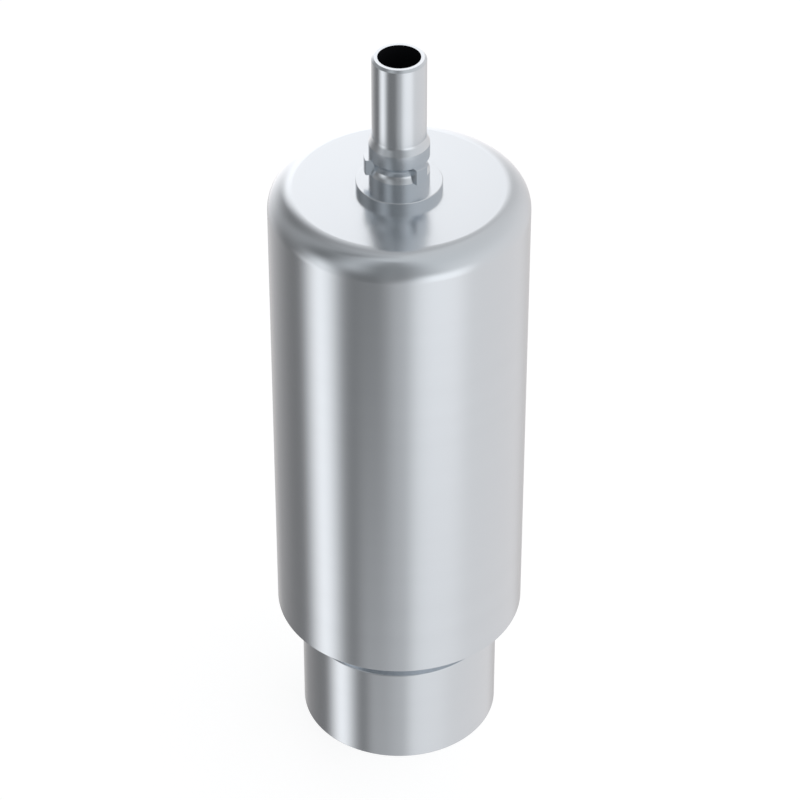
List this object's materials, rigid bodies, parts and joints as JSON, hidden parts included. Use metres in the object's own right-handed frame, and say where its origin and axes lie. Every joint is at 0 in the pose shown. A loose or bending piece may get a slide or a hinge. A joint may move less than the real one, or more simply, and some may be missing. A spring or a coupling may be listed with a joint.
{
  "type": "dental abutment blank",
  "caption": "Turned metal abutment blank: a round stock cylinder on a slimmer clamping shank, with a finished tubular implant connection standing on its top face.",
  "frame": {"origin": "centre of the clamping shank's end face, on which the blank stands", "axes": "+Z along the turning axis, from the shank towards the implant connection; one of the three cams points 70.1 degrees from +X towards +Y"},
  "size_m": [0.01, 0.01, 0.0315],
  "materials": {
    "titanium": "bright fine-turned titanium, satin along the walls and near mirror on the faced ends"
  },
  "bodies": {
    "root": {"abutment_blank": "titanium"}
  },
  "joints": []
}
